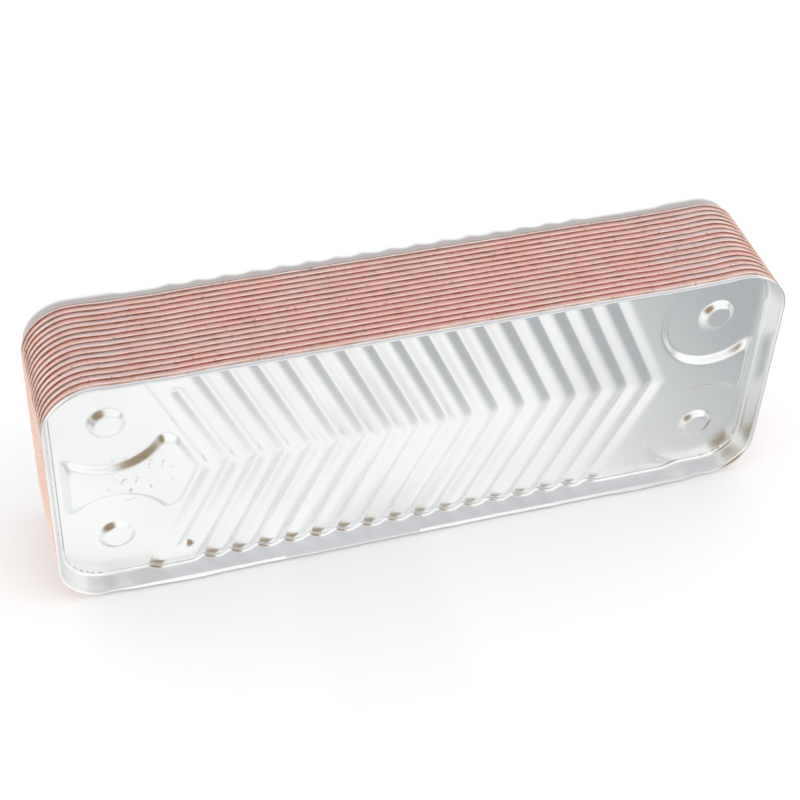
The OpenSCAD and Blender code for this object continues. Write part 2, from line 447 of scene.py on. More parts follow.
    def solid(self, phase: float) -> tuple[Array, Array, Array]:
        """The whole plate as a closed sheet.

        Args:
            phase: shifts the waves of the free edge.

        Returns:
            Vertices, triangles, and the reach up the skirt for each vertex.
        """
        top, tris, reach, _ = self.face_up(phase)
        normal = vertex_normals(top, tris)
        top = top + normal * self.inside
        bottom = top - normal * self.thickness
        count = len(top)
        border = boundary_edges(tris)
        middle_of = {v: i for i, v in enumerate(sorted({int(v) for e in border for v in e}))}
        lip = np.array(sorted(middle_of))
        outward = border_outward(top, tris, border, lip)
        middle = (top[lip] + bottom[lip]) / 2.0 + outward * self.thickness * 0.3
        sides = []
        for a, b in border:
            ma, mb = 2 * count + middle_of[a], 2 * count + middle_of[b]
            sides += [(b, a, ma), (b, ma, mb), (mb, ma, a + count), (mb, a + count, b + count)]
        verts = np.concatenate([top, bottom, middle])
        faces = np.concatenate([tris, tris[:, ::-1] + count, np.array(sides, dtype=int)])
        return verts, faces, np.concatenate([reach, reach, reach[lip]])


def strip(lower: Array, upper: Array) -> Array:
    """Triangles between two closed vertex rings of the same length."""
    lower_next, upper_next = np.roll(lower, -1), np.roll(upper, -1)
    first = np.column_stack([lower, upper, lower_next])
    second = np.column_stack([lower_next, upper, upper_next])
    return np.concatenate([first, second])[:, ::-1]


def vertex_normals(verts: Array, tris: Array) -> Array:
    """Unit vertex normals weighted by the area of the triangles."""
    a, b, c = (verts[tris[:, i]] for i in range(3))
    flat = np.cross(b - a, c - a)
    total = np.zeros_like(verts)
    for i in range(3):
        np.add.at(total, tris[:, i], flat)
    return total / np.maximum(np.linalg.norm(total, axis=1, keepdims=True), 1e-12)


def boundary_edges(tris: Array) -> list[tuple[int, int]]:
    """Directed edges that belong to one triangle only."""
    edges = np.concatenate([tris[:, [0, 1]], tris[:, [1, 2]], tris[:, [2, 0]]])
    key = np.sort(edges, axis=1)
    _, back, counts = np.unique(key, axis=0, return_inverse=True, return_counts=True)
    return [(int(a), int(b)) for a, b in edges[counts[back.ravel()] == 1]]


def border_outward(verts: Array, tris: Array, border: list[tuple[int, int]], lip: Array) -> Array:
    """Unit directions that point off the sheet at its border vertices."""
    normal = vertex_normals(verts, tris)
    total = np.zeros_like(verts)
    pairs = np.array(border)
    along = verts[pairs[:, 1]] - verts[pairs[:, 0]]
    off = np.cross(along, normal[pairs[:, 0]])
    np.add.at(total, pairs[:, 0], off)
    np.add.at(total, pairs[:, 1], off)
    picked = total[lip]
    return picked / np.maximum(np.linalg.norm(picked, axis=1, keepdims=True), 1e-12)


# ---------------------------------------------------------------- the stack in the row frame


@dataclass(frozen=True)
class Stack:
    """Places plates in the row frame, from the boxes of the CAD nodes."""

    channel_count: int
    pitch: float
    web_y: float
    middle_z: float

    @classmethod
    def from_frame(cls, outline: Outline) -> "Stack":
        """Reads the number of plates, their pitch and their place off the frame."""
        names = sorted(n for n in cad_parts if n.startswith("channel_plate_"))
        low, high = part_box("back_cover_plate")
        first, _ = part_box(names[0])
        last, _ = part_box(names[-1])
        pitch = (last.y - first.y) / MM / (len(names) - 1)
        return cls(len(names), pitch, low.y / MM + outline.skirt_height, (low.z + high.z) / 2.0 / MM)

    @property
    def front_index(self) -> int:
        """Index of the front cover."""
        return self.channel_count + 1

    def place(self, points: Array, index: int) -> Array:
        """Turns plate coordinates into the row frame, in metres.

        Args:
            points: plate coordinates in millimetres.
            index: place of the plate in the stack, with 0 for the back cover.

        Returns:
            The same points in the row frame, in metres.
        """
        x, y, z = points[:, 0], points[:, 1], points[:, 2]
        depth = self.web_y - z + index * self.pitch
        return np.column_stack([x, depth, y + self.middle_z]) * MM


def mesh_object(name: str, verts: Array, faces: Array, material: bpy.types.Material) -> bpy.types.Object:
    """Makes a smooth-shaded object from arrays.

    Args:
        name: the piece's name.
        verts: vertex positions in metres.
        faces: triangles.
        material: the finish.

    Returns:
        The object, linked to the scene.
    """
    mesh = bpy.data.meshes.new(name)
    mesh.from_pydata(verts.tolist(), [], faces.tolist())
    mesh.polygons.foreach_set("use_smooth", [True] * len(mesh.polygons))
    mesh.materials.append(material)
    mesh.update()
    made = bpy.data.objects.new(name, mesh)
    bpy.context.scene.collection.objects.link(made)
    return made


def add_reach(piece: bpy.types.Object, reach: Array) -> None:
    """Stores how far up the skirt each vertex lies, for the materials."""
    layer = piece.data.attributes.new("reach", "FLOAT", "POINT")
    layer.data.foreach_set("value", reach.astype(np.float32))


def settle(piece: bpy.types.Object, slot: Slot, *nodes: str) -> bpy.types.Object:
    """Puts a finished piece on the body, in place of its CAD nodes, and reports it."""
    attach(piece, "root")
    if nodes:
        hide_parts(*nodes)
    piece.data.calc_loop_triangles()
    log.info("%s: %d triangles", piece.name, len(piece.data.loop_triangles))
    return piece


# ---------------------------------------------------------------- finishes


class Nodes:
    """A short way to add and join shader nodes."""

    def __init__(self, tree: bpy.types.NodeTree) -> None:
        """Starts from an empty tree."""
        self.tree = tree
        self.tree.nodes.clear()

    def add(self, kind: str, **settings: object) -> bpy.types.Node:
        """Adds a node and sets its properties."""
        node = self.tree.nodes.new(kind)
        for name, value in settings.items():
            setattr(node, name, value)
        return node

    def join(self, start: bpy.types.NodeSocket, end: bpy.types.NodeSocket) -> None:
        """Joins two sockets."""
        self.tree.links.new(start, end)

    def math(self, operation: str, *values: object) -> bpy.types.NodeSocket:
        """A Math node fed by sockets or numbers."""
        node = self.add("ShaderNodeMath", operation=operation)
        for socket, value in zip(node.inputs, values):
            if isinstance(value, bpy.types.NodeSocket):
                self.join(value, socket)
            else:
                socket.default_value = value
        return node.outputs[0]

    def spread(
        self, value: object, low: float, high: float, to_low: float, to_high: float
    ) -> bpy.types.NodeSocket:
        """A smooth Map Range, from low and high to to_low and to_high."""
        node = self.add("ShaderNodeMapRange", interpolation_type="SMOOTHSTEP")
        self.join(value, node.inputs["Value"])
        limits = {"From Min": low, "From Max": high, "To Min": to_low, "To Max": to_high}
        for name, number in limits.items():
            node.inputs[name].default_value = number
        return node.outputs["Result"]

    def blend(self, factor: object, first: object, second: object) -> bpy.types.NodeSocket:
        """Mixes two colours, each a socket or three numbers."""
        node = self.add("ShaderNodeMix", data_type="RGBA")
        self.join(factor, node.inputs["Factor"])
        colours = [s for s in node.inputs if s.type == "RGBA"]
        for socket, value in zip(colours, (first, second)):
            if isinstance(value, bpy.types.NodeSocket):
                self.join(value, socket)
            else:
                socket.default_value = (*value, 1.0)
        return next(s for s in node.outputs if s.type == "RGBA")


def effect_group(name: str, inputs: dict[str, float], outputs: list[str]) -> tuple[bpy.types.NodeTree, Nodes]:
    """Starts a shader node group with a Vector input, named float inputs and float outputs."""
    tree = bpy.data.node_groups.new(name, "ShaderNodeTree")
    tree.interface.new_socket("Vector", in_out="INPUT", socket_type="NodeSocketVector")
    for label, value in inputs.items():
        socket = tree.interface.new_socket(label, in_out="INPUT", socket_type="NodeSocketFloat")
        socket.default_value = value
    for label in outputs:
        tree.interface.new_socket(label, in_out="OUTPUT", socket_type="NodeSocketFloat")
    return tree, Nodes(tree)


def blotch_group() -> bpy.types.NodeTree:
    """Soft patches at one scale, broken up by finer ones."""
    tree, n = effect_group("blotches", {"Scale": 60.0, "Detail": 4.0}, ["Value"])
    given = n.add("NodeGroupInput")
    noise = n.add("ShaderNodeTexNoise")
    n.join(given.outputs["Vector"], noise.inputs["Vector"])
    n.join(given.outputs["Scale"], noise.inputs["Scale"])
    n.join(given.outputs["Detail"], noise.inputs["Detail"])
    result = n.add("NodeGroupOutput")
    n.join(n.spread(noise.outputs["Fac"], 0.3, 0.7, 0.0, 1.0), result.inputs["Value"])
    return tree


def grain_group() -> bpy.types.NodeTree:
    """The fine rolled grain of a sheet, with sparse specks in it."""
    tree, n = effect_group("sheet_grain", {"Scale": 900.0, "Stretch": 0.12}, ["Height", "Specks"])
    given = n.add("NodeGroupInput")
    mapping = n.add("ShaderNodeCombineXYZ")
    n.join(given.outputs["Stretch"], mapping.inputs["X"])
    mapping.inputs["Y"].default_value = 1.0
    mapping.inputs["Z"].default_value = 1.0
    scaled = n.add("ShaderNodeVectorMath", operation="MULTIPLY")
    n.join(given.outputs["Vector"], scaled.inputs[0])
    n.join(mapping.outputs[0], scaled.inputs[1])
    fine = n.add("ShaderNodeTexNoise")
    fine.inputs["Detail"].default_value = 5.0
    n.join(scaled.outputs[0], fine.inputs["Vector"])
    n.join(given.outputs["Scale"], fine.inputs["Scale"])
    cells = n.add("ShaderNodeTexVoronoi")
    n.join(given.outputs["Vector"], cells.inputs["Vector"])
    cells.inputs["Scale"].default_value = 260.0
    result = n.add("NodeGroupOutput")
    n.join(fine.outputs["Fac"], result.inputs["Height"])
    n.join(n.spread(cells.outputs["Distance"], 0.05, 0.09, 1.0, 0.0), result.inputs["Specks"])
    return tree


@dataclass(frozen=True)
class Effects:
    """The node groups that the finishes share."""

    blotches: bpy.types.NodeTree
    grain: bpy.types.NodeTree

    @classmethod
    def build(cls) -> "Effects":
        """Makes each group once."""
        return cls(blotch_group(), grain_group())


def place_group(n: Nodes, tree: bpy.types.NodeTree, **values: float) -> bpy.types.Node:
    """Places an effect in a material on Object coordinates, with its own values."""
    node = n.add("ShaderNodeGroup", node_tree=tree)
    coordinates = n.add("ShaderNodeTexCoord")
    n.join(coordinates.outputs["Object"], node.inputs["Vector"])
    for name, value in values.items():
        node.inputs[name].default_value = value
    return node


def new_material(name: str) -> tuple[bpy.types.Material, Nodes, bpy.types.Node]:
    """A material with a Principled shader and nothing else in it."""
    material = bpy.data.materials.new(name)
    material.use_nodes = True
    n = Nodes(material.node_tree)
    shader = n.add("ShaderNodeBsdfPrincipled")
    output = n.add("ShaderNodeOutputMaterial")
    n.join(shader.outputs[0], output.inputs["Surface"])
    return material, n, shader


def bump(
    n: Nodes, shader: bpy.types.Node, height: bpy.types.NodeSocket, strength: float, distance: float
) -> None:
    """Feeds a height into the shader's normal."""
    node = n.add("ShaderNodeBump")
    node.inputs["Strength"].default_value = strength
    node.inputs["Distance"].default_value = distance
    n.join(height, node.inputs["Height"])
    n.join(node.outputs["Normal"], shader.inputs["Normal"])


@dataclass(frozen=True)
class CoverSteel:
    """Bright pressed stainless sheet with faint stains, and optionally a painted grey reflection on its
    skirt.
    """

    bright: tuple[float, float, float] = (0.93, 0.945, 0.935)
    dull: tuple[float, float, float] = (0.89, 0.90, 0.895)
    stain: tuple[float, float, float] = (0.52, 0.36, 0.31)
    stain_at: tuple[float, float, float] = (-0.079, -0.017, 0.0385)
    roughness: tuple[float, float] = (0.23, 0.27)
    # painted reflection: the grey that the skirt mirrors, painted into its colour, and how strongly it is
    # painted
    reflected_grey: tuple[float, float, float] = (0.46, 0.43, 0.42)
    painted_reflection: float = 0.0

    def build(self, effects: Effects, name: str) -> bpy.types.Material:
        """Makes the material.

        Args:
            effects: the shared node groups.
            name: the material's name.

        Returns:
            The material. With the painted reflection amount above 0, a grey reflection is painted onto the
            skirt.
        """
        material, n, shader = new_material(name)
        shader.inputs["Metallic"].default_value = 1.0
        broad = place_group(n, effects.blotches, Scale=38.0, Detail=0.5)
        grain = place_group(n, effects.grain, Scale=1400.0, Stretch=0.1)
        marks = place_group(n, effects.blotches, Scale=520.0, Detail=2.0)
        coordinates = n.add("ShaderNodeTexCoord")
        apart = n.add("ShaderNodeVectorMath", operation="DISTANCE")
        n.join(coordinates.outputs["Object"], apart.inputs[0])
        apart.inputs[1].default_value = self.stain_at
        near = n.spread(apart.outputs["Value"], 0.004, 0.013, 1.0, 0.0)
        stained = n.math("MULTIPLY", n.spread(marks.outputs["Value"], 0.86, 1.0, 0.0, 0.5), near)
        reach = n.add("ShaderNodeAttribute", attribute_name="reach")
        # painted reflection: up the skirt, the colour fades to a flat grey that stands in for the surround it
        # mirrors
        painted_reflection_mask = n.spread(reach.outputs["Fac"], 0.1, 0.5, 0.0, self.painted_reflection)
        colour = n.blend(broad.outputs["Value"], self.bright, self.dull)
        colour = n.blend(painted_reflection_mask, colour, self.reflected_grey)
        n.join(n.blend(stained, colour, self.stain), shader.inputs["Base Color"])
        rough = n.spread(broad.outputs["Value"], 0.0, 1.0, *self.roughness)
        n.join(n.math("MAXIMUM", rough, n.math("MULTIPLY", stained, 0.9)), shader.inputs["Roughness"])
        bump(n, shader, grain.outputs["Height"], 0.04, 0.0001)
        return material


@dataclass(frozen=True)
class CopperWash:
    """Stainless sheet on which brazing copper has spread, thickest at the free edge."""

    steel: tuple[float, float, float] = (0.84, 0.80, 0.79)
    copper: tuple[float, float, float] = (0.92, 0.64, 0.58)
    edge: tuple[float, float, float] = (0.97, 0.78, 0.71)
    bare_ends: bool = False

    def build(self, effects: Effects, name: str) -> bpy.types.Material:
        """Makes the material.

        Args:
            effects: the shared node groups.
            name: the material's name.

        Returns:
            The material. With bare_ends, the copper stops short of the plate's ends.
        """
        material, n, shader = new_material(name)
        shader.inputs["Metallic"].default_value = 1.0
        broad = place_group(n, effects.blotches, Scale=70.0, Detail=5.0)
        fine = place_group(n, effects.blotches, Scale=420.0, Detail=6.0)
        grain = place_group(n, effects.grain, Scale=700.0, Stretch=0.35)
        reach = n.add("ShaderNodeAttribute", attribute_name="reach")
        wetted = n.spread(reach.outputs["Fac"], 0.02, 0.3, 0.0, 1.0)
        if self.bare_ends:
            coordinates = n.add("ShaderNodeTexCoord")
            parts = n.add("ShaderNodeSeparateXYZ")
            n.join(coordinates.outputs["Object"], parts.inputs[0])
            along = n.math("ABSOLUTE", parts.outputs["X"])
            ragged = n.math("MULTIPLY_ADD", broad.outputs["Value"], 0.016, along)
            wetted = n.math("MULTIPLY", wetted, n.spread(ragged, 0.072, 0.09, 1.0, 0.25))
        wetted = n.math("MULTIPLY", wetted, n.spread(broad.outputs["Value"], 0.0, 0.4, 0.7, 1.0))
        colour = n.blend(wetted, self.steel, self.copper)
        rim = n.math("MULTIPLY", n.spread(reach.outputs["Fac"], 0.86, 1.0, 0.0, 0.8), wetted)
        colour = n.blend(rim, colour, self.edge)
        shade = n.spread(fine.outputs["Value"], 0.0, 0.5, 0.3, 0.0)
        dark = tuple(0.62 * c for c in self.copper)
        n.join(n.blend(n.math("MULTIPLY", shade, wetted), colour, dark), shader.inputs["Base Color"])
        n.join(n.spread(fine.outputs["Value"], 0.0, 1.0, 0.36, 0.52), shader.inputs["Roughness"])
        bump(n, shader, grain.outputs["Height"], 0.2, 0.0003)
        return material


@dataclass(frozen=True)
class BrazeCopper:
    """Brazing copper: salmon pink, satin and a little blotchy."""

    light: tuple[float, float, float] = (0.98, 0.76, 0.66)
    deep: tuple[float, float, float] = (0.93, 0.62, 0.50)
    burnt: tuple[float, float, float] = (0.30, 0.17, 0.13)

    def build(self, effects: Effects) -> bpy.types.Material:
        """Makes the material."""
        material, n, shader = new_material("braze_copper")
        shader.inputs["Metallic"].default_value = 0.55
        broad = place_group(n, effects.blotches, Scale=120.0, Detail=4.0)
        fine = place_group(n, effects.blotches, Scale=900.0, Detail=4.0)
        grain = place_group(n, effects.grain, Scale=500.0, Stretch=0.8)
        colour = n.blend(broad.outputs["Value"], self.light, self.deep)
        scorched = n.spread(fine.outputs["Value"], 0.9, 1.0, 0.0, 0.6)
        n.join(n.blend(scorched, colour, self.burnt), shader.inputs["Base Color"])
        n.join(n.spread(fine.outputs["Value"], 0.0, 1.0, 0.3, 0.48), shader.inputs["Roughness"])
        bump(n, shader, grain.outputs["Height"], 0.3, 0.0003)
        return material


@dataclass(frozen=True)
class TurnedSteel:
    """Plain turned steel of the bosses, with faint blotches and a fine grain."""

    colour: tuple[float, float, float] = (0.62, 0.62, 0.63)
    shade: tuple[float, float, float] = (0.48, 0.47, 0.46)

    def build(self, effects: Effects) -> bpy.types.Material:
        """Makes the material."""
        material, n, shader = new_material("boss_steel")
        shader.inputs["Metallic"].default_value = 1.0
        broad = place_group(n, effects.blotches, Scale=200.0, Detail=4.0)
        grain = place_group(n, effects.grain, Scale=1800.0, Stretch=1.0)
        n.join(n.blend(broad.outputs["Value"], self.colour, self.shade), shader.inputs["Base Color"])
        n.join(n.spread(broad.outputs["Value"], 0.0, 1.0, 0.28, 0.42), shader.inputs["Roughness"])
        bump(n, shader, grain.outputs["Height"], 0.15, 0.0002)
        return material


@dataclass(frozen=True)
class Finishes:
    """Every material of the object."""

    cover: bpy.types.Material
    front_cover: bpy.types.Material
    washed: bpy.types.Material
    half_washed: bpy.types.Material
    copper: bpy.types.Material
    boss: bpy.types.Material

    @classmethod
    def build(cls) -> "Finishes":
        """Makes each material once."""
        effects = Effects.build()
        return cls(
            CoverSteel().build(effects, "cover_steel"),
            # the front cover's skirt gets the painted grey reflection
            CoverSteel(painted_reflection=1.0).build(effects, "front_cover_steel"),
            CopperWash().build(effects, "copper_washed_plate"),
            CopperWash(bare_ends=True).build(effects, "half_washed_plate"),
            BrazeCopper().build(effects),
            TurnedSteel().build(effects),
        )


# ---------------------------------------------------------------- sub-assemblies


@dataclass
class Covers:
    """The blank back cover and the front cover with its four port holes."""

    stack: Stack
    relief: CoverRelief = field(default_factory=CoverRelief)
    thickness: float = 0.5
    back_inside: float = 0.15
    back_phase: float = 0.4
    front_phase: float = 2.9
    port_radius: float = 8.0
    detail: int = 14
    row_gap: float = 1.0
    rim_count: int = 720

    def plan(self, rings: tuple[float, ...], hole: float) -> SheetPlan:
        """Mesh plan of a cover with vertex rings about its port centres."""
        return SheetPlan(self.detail, self.row_gap, self.rim_count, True, hole, rings)

    def back(self, finishes: Finishes) -> bpy.types.Object:
        """Builds the blank cover, with a dimple on each port centre."""
        rings = (0.9, 1.8, 2.6, 3.1, 3.5, 3.9, 4.3, 4.7, 5.1, 5.5, 6.1)
        sheet = Sheet(self.relief.dimpled, self.plan(rings, 0.0), self.thickness, self.back_inside)
        verts, faces, reach = sheet.solid(self.back_phase)
        piece = mesh_object("back_cover", self.stack.place(verts, 0), faces, finishes.cover)
        add_reach(piece, reach)
        return settle(piece, Slot.COVER, "back_cover_plate")

    def front(self, finishes: Finishes) -> bpy.types.Object:
        """Builds the cover on the port side."""
        rings = (self.port_radius, self.port_radius + 0.25, self.port_radius + 0.8)
        sheet = Sheet(self.relief.height, self.plan(rings, self.port_radius), self.thickness)
        verts, faces, reach = sheet.solid(self.front_phase)
        placed = self.stack.place(verts, self.stack.front_index)
        piece = mesh_object("front_cover", placed, faces, finishes.front_cover)
        add_reach(piece, reach)
        return settle(piece, Slot.COVER, "front_cover_plate")


@dataclass
class ChannelPlates:
    """The channel plates between the covers, every second one turned half a turn."""

    stack: Stack
    relief: ChannelRelief = field(default_factory=ChannelRelief)
    thickness: float = 0.33
    port_radius: float = 8.5
    detail: int = 6
    row_gap: float = 2.4
    rim_count: int = 540

    def turn_of(self, index: int) -> Turn:
        """Which way round plate index lies."""
        return Turn.AS_PRESSED if index % 2 == 0 else Turn.HALF_TURN

    def build(self, finishes: Finishes) -> list[bpy.types.Object]:
        """Builds every channel plate as its own piece."""
        rings = (self.port_radius, self.port_radius + 1.2, 11.6, 12.2, 12.8, 13.4)
        plan = SheetPlan(self.detail, self.row_gap, self.rim_count, False, self.port_radius, rings, 36)
        made = []
        for index in range(1, self.stack.channel_count + 1):
            sheet = Sheet(self.relief.height, plan, self.thickness)
            verts, faces, reach = sheet.solid(PHASE_STEP * index)
            verts = verts * [self.turn_of(index).value, self.turn_of(index).value, 1.0]
            finish = finishes.half_washed if index % 2 == 0 else finishes.washed
            piece = mesh_object(f"channel_{index:02d}", self.stack.place(verts, index), faces, finish)
            add_reach(piece, reach)
            made.append(settle(piece, Slot.PLATE, f"channel_plate_{index:02d}"))
        return made


class SeamTree:
    """Geometry Nodes that sweep an uneven copper bead along a closed path."""

    def __init__(self) -> None:
        """Builds the tree once, with named inputs."""
        tree = bpy.data.node_groups.new("braze_bead", "GeometryNodeTree")
        tree.interface.new_socket("Geometry", in_out="INPUT", socket_type="NodeSocketGeometry")
        for name in ("Radius", "Unevenness", "Step", "Seed"):
            tree.interface.new_socket(name, in_out="INPUT", socket_type="NodeSocketFloat")
        tree.interface.new_socket("Material", in_out="INPUT", socket_type="NodeSocketMaterial")
        tree.interface.new_socket("Geometry", in_out="OUTPUT", socket_type="NodeSocketGeometry")
        self.tree = tree
        n = Nodes(tree)
        given = n.add("NodeGroupInput")
        even = n.add("GeometryNodeResampleCurve", mode="LENGTH")
        n.join(given.outputs["Geometry"], even.inputs["Curve"])
        n.join(given.outputs["Step"], even.inputs["Length"])
        noise = n.add("ShaderNodeTexNoise", noise_dimensions="4D")
        n.join(given.outputs["Seed"], noise.inputs["W"])
        noise.inputs["Scale"].default_value = 260.0
        noise.inputs["Detail"].default_value = 3.0
        centred = n.math("SUBTRACT", noise.outputs["Fac"], 0.5)
        swing = n.math("MULTIPLY", centred, given.outputs["Unevenness"])
        factor = n.math("ADD", swing, 1.0)
        sized = n.add("GeometryNodeSetCurveRadius")
        n.join(even.outputs[0], sized.inputs["Curve"])
        n.join(n.math("MULTIPLY", factor, given.outputs["Radius"]), sized.inputs["Radius"])
        ring = n.add("GeometryNodeCurvePrimitiveCircle", mode="RADIUS")
        ring.inputs["Resolution"].default_value = 7
        ring.inputs["Radius"].default_value = 1.0
        swept = n.add("GeometryNodeCurveToMesh")
        n.join(sized.outputs[0], swept.inputs["Curve"])
        n.join(ring.outputs[0], swept.inputs["Profile Curve"])
        radius = n.add("GeometryNodeInputRadius")
        n.join(radius.outputs[0], swept.inputs["Scale"])
        smooth = n.add("GeometryNodeSetShadeSmooth")
        n.join(swept.outputs[0], smooth.inputs["Geometry"])
        real = n.add("GeometryNodeRealizeInstances")
        n.join(smooth.outputs[0], real.inputs[0])
        dressed = n.add("GeometryNodeSetMaterial")
        n.join(real.outputs[0], dressed.inputs["Geometry"])
        n.join(given.outputs["Material"], dressed.inputs["Material"])
        result = n.add("NodeGroupOutput")
        n.join(dressed.outputs[0], result.inputs["Geometry"])

    def sweep(self, name: str, path: Array, settings: dict[str, object]) -> bpy.types.Object:
        """Sweeps the bead along a closed path.

        Args:
            name: the piece's name.
            path: the path's points in metres.
            settings: values of the tree's named inputs.

        Returns:
            The bead as a plain mesh object.
        """
        curve = bpy.data.curves.new(f"{name}_path", "CURVE")
        curve.dimensions = "3D"
        spline = curve.splines.new("POLY")
        spline.points.add(len(path) - 1)
        spline.points.foreach_set("co", np.column_stack([path, np.ones(len(path))]).ravel())
        spline.use_cyclic_u = True
        source = bpy.data.objects.new(f"{name}_path", curve)
        bpy.context.scene.collection.objects.link(source)
        return bake(source, self.tree, name, settings)


def bake(
    source: bpy.types.Object, tree: bpy.types.NodeTree, name: str, settings: dict[str, object]
) -> bpy.types.Object:
    """Runs a node tree on an object once and keeps the result as a plain mesh.

    Args:
        source: the object that carries the tree while it runs.
        tree: the Geometry Nodes tree.
        name: name of the result.
        settings: values of the tree's named inputs.

    Returns:
        The new mesh object. The source is removed.
    """
    modifier = source.modifiers.new("shape", "NODES")
    modifier.node_group = tree
    sockets = {s.name: s.identifier for s in tree.interface.items_tree if s.in_out == "INPUT"}
    for label, value in settings.items():
        modifier[sockets[label]] = value
    graph = bpy.context.evaluated_depsgraph_get()
    mesh = bpy.data.meshes.new_from_object(source.evaluated_get(graph), depsgraph=graph)
    mesh.name = name
    source.modifiers.remove(modifier)
    bpy.data.objects.remove(source)
    made = bpy.data.objects.new(name, mesh)
    bpy.context.scene.collection.objects.link(made)
    return made


@dataclass
class BrazeSeams:
    """The copper that closes the gap between each skirt and the next."""

    stack: Stack
    outline: Outline = field(default_factory=Outline)
    sheet: float = 0.35
    radius: float = 0.19
    unevenness: float = 1.1
    path_count: int = 720

    def path(self, index: int) -> Array:
        """Plate coordinates of the bead that lies on the free edge of plate index."""
        base, normal = self.outline.perimeter(self.path_count)
        place = base + self.outline.fillet_start * normal
        z = self.outline.free_edge(place[:, 0], place[:, 1], PHASE_STEP * index) - self.stack.pitch + 0.05
        reach = self.outline.skirt_radius(z) + (self.sheet + 0.1) * self.outline.level
        return np.column_stack([base + normal * reach[:, None], z])

    def build(self, finishes: Finishes) -> list[bpy.types.Object]:
        """Sweeps one bead for each seam."""
        tree = SeamTree()
        made = []
        for index in range(1, self.stack.front_index + 1):
            settings = {
                "Radius": self.radius * MM,
                "Unevenness": self.unevenness,
                "Step": 0.8 * MM,
                "Seed": float(SEED + index),
                "Material": finishes.copper,
            }
            points = self.stack.place(self.path(index), index - 1)
            piece = tree.sweep(f"seam_{index:02d}", points, settings)
            made.append(settle(piece, Slot.COPPER, f"braze_seam_{index:02d}"))
        return made


@dataclass
class Bosses:
    """Two threaded bosses between the port pairs of the front cover."""

    outer: float = 6.0
    flat_half: float = 4.7
    bore: float = 2.5
    thread_depth: float = 0.45
    thread_pitch: float = 1.0
    chamfer: float = 0.5
    segments: int = 72

    def ring(self, radius: float, clip: bool) -> Array:
        """A ring of points, clipped to the two flats when clip is set."""
        angle = np.arange(self.segments) * 2.0 * math.pi / self.segments
        reach = np.full(self.segments, radius)
        if clip:
            limit = (self.flat_half - (self.outer - radius)) / np.maximum(np.abs(np.sin(angle)), 1e-6)
            reach = np.minimum(reach, limit)
        return np.column_stack([reach * np.cos(angle), reach * np.sin(angle)])

    def sections(self, length: float) -> list[tuple[float, float, bool]]:
        """Radius, depth and clipping of each ring, round the boss's section."""
        out = [(self.outer, 0.0, True), (self.outer, length - self.chamfer, True)]
        out += [(self.outer - self.chamfer, length, True), (self.bore + 0.6, length, False)]
        turns = int((length - 0.8) / self.thread_pitch)
        for turn in range(turns):
            top = length - 0.6 - turn * self.thread_pitch
            out.append((self.bore, top, False))
            out.append((self.bore + self.thread_depth, top - self.thread_pitch / 2.0, False))
        out.append((self.bore, 0.0, False))
        return out

    def build_one(self, node: str, finishes: Finishes) -> bpy.types.Object:
        """Builds the boss that stands for one CAD node, inside that node's box."""
        low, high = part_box(node)
        length = (high.y - low.y) / MM
        centre = ((low.x + high.x) / 2.0 / MM, (low.z + high.z) / 2.0 / MM)
        verts = []
        for radius, depth, clip in self.sections(length):
            plan = self.ring(radius, clip)
            row = [plan[:, 0] + centre[0], np.full(self.segments, low.y / MM + depth), plan[:, 1] + centre[1]]
            verts.append(np.column_stack(row))
        faces = []
        count = len(verts)
        for number in range(count):
            first = number * self.segments + np.arange(self.segments)
            second = (number + 1) % count * self.segments + np.arange(self.segments)
            faces.append(strip(first, second))
        points = np.concatenate(verts) * MM
        piece = mesh_object(f"{node}_turned", points, np.concatenate(faces), finishes.boss)
        piece.data.polygons.foreach_set("use_smooth", [False] * len(piece.data.polygons))
        turn_outward(piece)
        return settle(piece, Slot.BOSS, node)

    def build(self, finishes: Finishes) -> list[bpy.types.Object]:
        """Builds both bosses."""
        return [self.build_one(f"mounting_boss_{side}", finishes) for side in ("left", "right")]


def turn_outward(piece: bpy.types.Object) -> None:
    """Turns a closed mesh's faces outward, by the sign of its volume."""
    mesh = piece.data
    mesh.calc_loop_triangles()
    co = np.empty(len(mesh.vertices) * 3)
    mesh.vertices.foreach_get("co", co)
    tri = np.empty(len(mesh.loop_triangles) * 3, dtype=np.int32)
    mesh.loop_triangles.foreach_get("vertices", tri)
    a, b, c = (co.reshape(-1, 3)[tri.reshape(-1, 3)[:, i]] for i in range(3))
    if np.einsum("ij,ij->i", a, np.cross(b, c)).sum() < 0.0:
        mesh.flip_normals()


@dataclass
class SealRings:
    """The two rings that close the last gap round the lower ports. They stay CAD nodes."""

    def build(self, finishes: Finishes) -> None:
        """Gives each ring its finish."""
        for side in ("left", "right"):
            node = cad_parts[f"port_seal_ring_{side}"]
            node.data.materials.clear()
            node.data.materials.append(finishes.boss)
            log.info("%s: CAD node", node.name)


